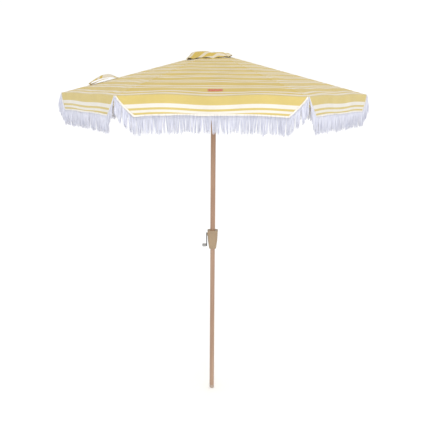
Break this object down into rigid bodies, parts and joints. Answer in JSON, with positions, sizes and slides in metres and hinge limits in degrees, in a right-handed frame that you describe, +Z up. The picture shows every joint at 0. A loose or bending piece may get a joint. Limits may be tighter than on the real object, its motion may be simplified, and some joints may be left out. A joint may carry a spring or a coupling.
{
  "type": "beach umbrella",
  "caption": "Beach umbrella with a striped, fringed canopy, folding ribs, a sliding runner and a crank lift on a two-piece pole.",
  "frame": {"origin": "centre of the foot's underside, on the pole's axis", "axes": "+Z up the pole; the front canopy panel faces -Y; the crank is on -X"},
  "size_m": [2.08, 1.8014, 2.459],
  "materials": {
    "pole_finish": "wood-look satin coating",
    "housing_plastic": "wood-look moulded",
    "foot_plastic": "matte",
    "bright_steel": "zinc plated",
    "dark_metal": "satin black",
    "knob_plastic": "satin",
    "hub_plastic": "moulded",
    "finial_plastic": "satin",
    "cord_fibre": "braided",
    "rib_metal": "satin white coating",
    "canopy_cloth": "striped woven cloth",
    "valance_cloth": "striped woven cloth with a fringe"
  },
  "bodies": {
    "pole": {"foot_plug": "foot_plastic", "lower_pole": "pole_finish", "upper_pole": "pole_finish", "pole_joint_pin": "bright_steel", "housing_front": "housing_plastic", "housing_back": "housing_plastic", "housing_screws": "bright_steel", "crank_bushing": "hub_plastic", "top_hub": "hub_plastic", "rib_pivot_pins": "bright_steel", "pulley_pin": "bright_steel", "cap_seat": "hub_plastic", "finial": "finial_plastic", "vent_cap": "canopy_cloth", "lift_cord_inner": "cord_fibre", "lift_cord_outer": "cord_fibre"},
    "crank": {"crank_shaft": "bright_steel", "cord_spool": "hub_plastic", "crank_arm": "dark_metal", "knob_pin": "bright_steel"},
    "knob": {"crank_knob": "knob_plastic"},
    "pulley": {"pulley": "hub_plastic"},
    "runner": {"runner": "hub_plastic"},
    "rib_0": {"rib_0": "rib_metal", "rib_fittings_0": "bright_steel", "canopy_gore_0": "canopy_cloth"},
    "stretcher_0": {"stretcher_0": "rib_metal"},
    "valance_right_0": {"valance_right_0": "valance_cloth"},
    "valance_left_0": {"valance_left_0": "valance_cloth"},
    "rib_1": {"rib_1": "rib_metal", "rib_fittings_1": "bright_steel", "canopy_gore_1": "canopy_cloth"},
    "stretcher_1": {"stretcher_1": "rib_metal"},
    "valance_right_1": {"valance_right_1": "valance_cloth"},
    "valance_left_1": {"valance_left_1": "valance_cloth"},
    "rib_2": {"rib_2": "rib_metal", "rib_fittings_2": "bright_steel", "canopy_gore_2": "canopy_cloth"},
    "stretcher_2": {"stretcher_2": "rib_metal"},
    "valance_right_2": {"valance_right_2": "valance_cloth"},
    "valance_left_2": {"valance_left_2": "valance_cloth"},
    "rib_3": {"rib_3": "rib_metal", "rib_fittings_3": "bright_steel", "canopy_gore_3": "canopy_cloth", "closure_strap": "canopy_cloth"},
    "stretcher_3": {"stretcher_3": "rib_metal"},
    "valance_right_3": {"valance_right_3": "valance_cloth"},
    "valance_left_3": {"valance_left_3": "valance_cloth"},
    "rib_4": {"rib_4": "rib_metal", "rib_fittings_4": "bright_steel", "canopy_gore_4": "canopy_cloth"},
    "stretcher_4": {"stretcher_4": "rib_metal"},
    "valance_right_4": {"valance_right_4": "valance_cloth"},
    "valance_left_4": {"valance_left_4": "valance_cloth"},
    "rib_5": {"rib_5": "rib_metal", "rib_fittings_5": "bright_steel", "canopy_gore_5": "canopy_cloth"},
    "stretcher_5": {"stretcher_5": "rib_metal"},
    "valance_right_5": {"valance_right_5": "valance_cloth"},
    "valance_left_5": {"valance_left_5": "valance_cloth"}
  },
  "joints": [
    {"name": "runner_slide", "type": "slide", "parent": "pole", "child": "runner", "axis": [0, 0, -1], "range_m": [0, 0.7068], "deforming": ["lift_cord_outer"]},
    {"name": "crank_turn", "type": "hinge", "parent": "pole", "child": "crank", "pos_m": [-0.045, 0, 1.196], "axis": [1, 0, 0], "range_deg": [-4049.68, 0]},
    {"name": "knob_spin", "type": "hinge", "parent": "crank", "child": "knob", "pos_m": [-0.06, 0, 1.115], "axis": [1, 0, 0], "continuous": true},
    {"name": "pulley_spin", "type": "hinge", "parent": "pole", "child": "pulley", "pos_m": [0, 0.01025, 2.40916], "axis": [1, 0, 0], "range_deg": [-3950.9, 0]},
    {"name": "rib_hinge_0", "type": "hinge", "parent": "pole", "child": "rib_0", "pos_m": [0.04, 0, 2.40816], "axis": [0, 1, 0], "range_deg": [0, 73.61], "deforming": ["canopy_gore_0"]},
    {"name": "stretcher_hinge_0", "type": "hinge", "parent": "rib_0", "child": "stretcher_0", "pos_m": [0.50322, 0, 2.28136], "axis": [0, 1, 0], "range_deg": [-147.21, 0]},
    {"name": "valance_right_0_fold", "type": "hinge", "parent": "rib_0", "child": "valance_right_0", "pos_m": [1.04, 0, 2.18], "axis": [-0.5, -0.866, 0], "range_deg": [0, 74.63], "deforming": ["valance_right_0"]},
    {"name": "valance_left_0_fold", "type": "hinge", "parent": "rib_0", "child": "valance_left_0", "pos_m": [1.04, 0, 2.18], "axis": [0.5, -0.866, 0], "range_deg": [0, 74.63], "deforming": ["valance_left_0"]},
    {"name": "rib_hinge_1", "type": "hinge", "parent": "pole", "child": "rib_1", "pos_m": [0.02, 0.03464, 2.40816], "axis": [-0.866, 0.5, 0], "range_deg": [0, 73.61], "deforming": ["canopy_gore_1"]},
    {"name": "stretcher_hinge_1", "type": "hinge", "parent": "rib_1", "child": "stretcher_1", "pos_m": [0.25161, 0.43581, 2.28136], "axis": [-0.866, 0.5, 0], "range_deg": [-147.21, 0]},
    {"name": "valance_right_1_fold", "type": "hinge", "parent": "rib_1", "child": "valance_right_1", "pos_m": [0.52, 0.90067, 2.18], "axis": [0.5, -0.866, 0], "range_deg": [0, 74.63], "deforming": ["valance_right_1"]},
    {"name": "valance_left_1_fold", "type": "hinge", "parent": "rib_1", "child": "valance_left_1", "pos_m": [0.52, 0.90067, 2.18], "axis": [1, 0, 0], "range_deg": [0, 74.63], "deforming": ["valance_left_1"]},
    {"name": "rib_hinge_2", "type": "hinge", "parent": "pole", "child": "rib_2", "pos_m": [-0.02, 0.03464, 2.40816], "axis": [-0.866, -0.5, 0], "range_deg": [0, 73.61], "deforming": ["canopy_gore_2"]},
    {"name": "stretcher_hinge_2", "type": "hinge", "parent": "rib_2", "child": "stretcher_2", "pos_m": [-0.25161, 0.43581, 2.28136], "axis": [-0.866, -0.5, 0], "range_deg": [-147.21, 0]},
    {"name": "valance_right_2_fold", "type": "hinge", "parent": "rib_2", "child": "valance_right_2", "pos_m": [-0.52, 0.90067, 2.18], "axis": [1, 0, 0], "range_deg": [0, 74.63], "deforming": ["valance_right_2"]},
    {"name": "valance_left_2_fold", "type": "hinge", "parent": "rib_2", "child": "valance_left_2", "pos_m": [-0.52, 0.90067, 2.18], "axis": [0.5, 0.866, 0], "range_deg": [0, 74.63], "deforming": ["valance_left_2"]},
    {"name": "rib_hinge_3", "type": "hinge", "parent": "pole", "child": "rib_3", "pos_m": [-0.04, 0, 2.40816], "axis": [0, -1, 0], "range_deg": [0, 73.61], "deforming": ["canopy_gore_3"]},
    {"name": "stretcher_hinge_3", "type": "hinge", "parent": "rib_3", "child": "stretcher_3", "pos_m": [-0.50322, 0, 2.28136], "axis": [0, -1, 0], "range_deg": [-147.21, 0]},
    {"name": "valance_right_3_fold", "type": "hinge", "parent": "rib_3", "child": "valance_right_3", "pos_m": [-1.04, 0, 2.18], "axis": [0.5, 0.866, 0], "range_deg": [0, 74.63], "deforming": ["valance_right_3"]},
    {"name": "valance_left_3_fold", "type": "hinge", "parent": "rib_3", "child": "valance_left_3", "pos_m": [-1.04, 0, 2.18], "axis": [-0.5, 0.866, 0], "range_deg": [0, 74.63], "deforming": ["valance_left_3"]},
    {"name": "rib_hinge_4", "type": "hinge", "parent": "pole", "child": "rib_4", "pos_m": [-0.02, -0.03464, 2.40816], "axis": [0.866, -0.5, 0], "range_deg": [0, 73.61], "deforming": ["canopy_gore_4"]},
    {"name": "stretcher_hinge_4", "type": "hinge", "parent": "rib_4", "child": "stretcher_4", "pos_m": [-0.25161, -0.43581, 2.28136], "axis": [0.866, -0.5, 0], "range_deg": [-147.21, 0]},
    {"name": "valance_right_4_fold", "type": "hinge", "parent": "rib_4", "child": "valance_right_4", "pos_m": [-0.52, -0.90067, 2.18], "axis": [-0.5, 0.866, 0], "range_deg": [0, 74.63], "deforming": ["valance_right_4"]},
    {"name": "valance_left_4_fold", "type": "hinge", "parent": "rib_4", "child": "valance_left_4", "pos_m": [-0.52, -0.90067, 2.18], "axis": [-1, 0, 0], "range_deg": [0, 74.63], "deforming": ["valance_left_4"]},
    {"name": "rib_hinge_5", "type": "hinge", "parent": "pole", "child": "rib_5", "pos_m": [0.02, -0.03464, 2.40816], "axis": [0.866, 0.5, 0], "range_deg": [0, 73.61], "deforming": ["canopy_gore_5"]},
    {"name": "stretcher_hinge_5", "type": "hinge", "parent": "rib_5", "child": "stretcher_5", "pos_m": [0.25161, -0.43581, 2.28136], "axis": [0.866, 0.5, 0], "range_deg": [-147.21, 0]},
    {"name": "valance_right_5_fold", "type": "hinge", "parent": "rib_5", "child": "valance_right_5", "pos_m": [0.52, -0.90067, 2.18], "axis": [-1, 0, 0], "range_deg": [0, 74.63], "deforming": ["valance_right_5"]},
    {"name": "valance_left_5_fold", "type": "hinge", "parent": "rib_5", "child": "valance_left_5", "pos_m": [0.52, -0.90067, 2.18], "axis": [-0.5, -0.866, 0], "range_deg": [0, 74.63], "deforming": ["valance_left_5"]}
  ],
  "couplings": [
    {"joint": "crank_turn", "follows": "runner_slide", "rad_per_m": -100},
    {"joint": "pulley_spin", "follows": "runner_slide", "rad_per_m": -97.561},
    {"joint": "rib_hinge_0", "follows": "runner_slide", "rad_per_m": 1.8174},
    {"joint": "stretcher_hinge_0", "follows": "runner_slide", "rad_per_m": -3.6349},
    {"joint": "valance_right_0_fold", "follows": "runner_slide", "rad_per_m": 1.8426},
    {"joint": "valance_left_0_fold", "follows": "runner_slide", "rad_per_m": 1.8426},
    {"joint": "rib_hinge_1", "follows": "runner_slide", "rad_per_m": 1.8174},
    {"joint": "stretcher_hinge_1", "follows": "runner_slide", "rad_per_m": -3.6349},
    {"joint": "valance_right_1_fold", "follows": "runner_slide", "rad_per_m": 1.8426},
    {"joint": "valance_left_1_fold", "follows": "runner_slide", "rad_per_m": 1.8426},
    {"joint": "rib_hinge_2", "follows": "runner_slide", "rad_per_m": 1.8174},
    {"joint": "stretcher_hinge_2", "follows": "runner_slide", "rad_per_m": -3.6349},
    {"joint": "valance_right_2_fold", "follows": "runner_slide", "rad_per_m": 1.8426},
    {"joint": "valance_left_2_fold", "follows": "runner_slide", "rad_per_m": 1.8426},
    {"joint": "rib_hinge_3", "follows": "runner_slide", "rad_per_m": 1.8174},
    {"joint": "stretcher_hinge_3", "follows": "runner_slide", "rad_per_m": -3.6349},
    {"joint": "valance_right_3_fold", "follows": "runner_slide", "rad_per_m": 1.8426},
    {"joint": "valance_left_3_fold", "follows": "runner_slide", "rad_per_m": 1.8426},
    {"joint": "rib_hinge_4", "follows": "runner_slide", "rad_per_m": 1.8174},
    {"joint": "stretcher_hinge_4", "follows": "runner_slide", "rad_per_m": -3.6349},
    {"joint": "valance_right_4_fold", "follows": "runner_slide", "rad_per_m": 1.8426},
    {"joint": "valance_left_4_fold", "follows": "runner_slide", "rad_per_m": 1.8426},
    {"joint": "rib_hinge_5", "follows": "runner_slide", "rad_per_m": 1.8174},
    {"joint": "stretcher_hinge_5", "follows": "runner_slide", "rad_per_m": -3.6349},
    {"joint": "valance_right_5_fold", "follows": "runner_slide", "rad_per_m": 1.8426},
    {"joint": "valance_left_5_fold", "follows": "runner_slide", "rad_per_m": 1.8426}
  ]
}
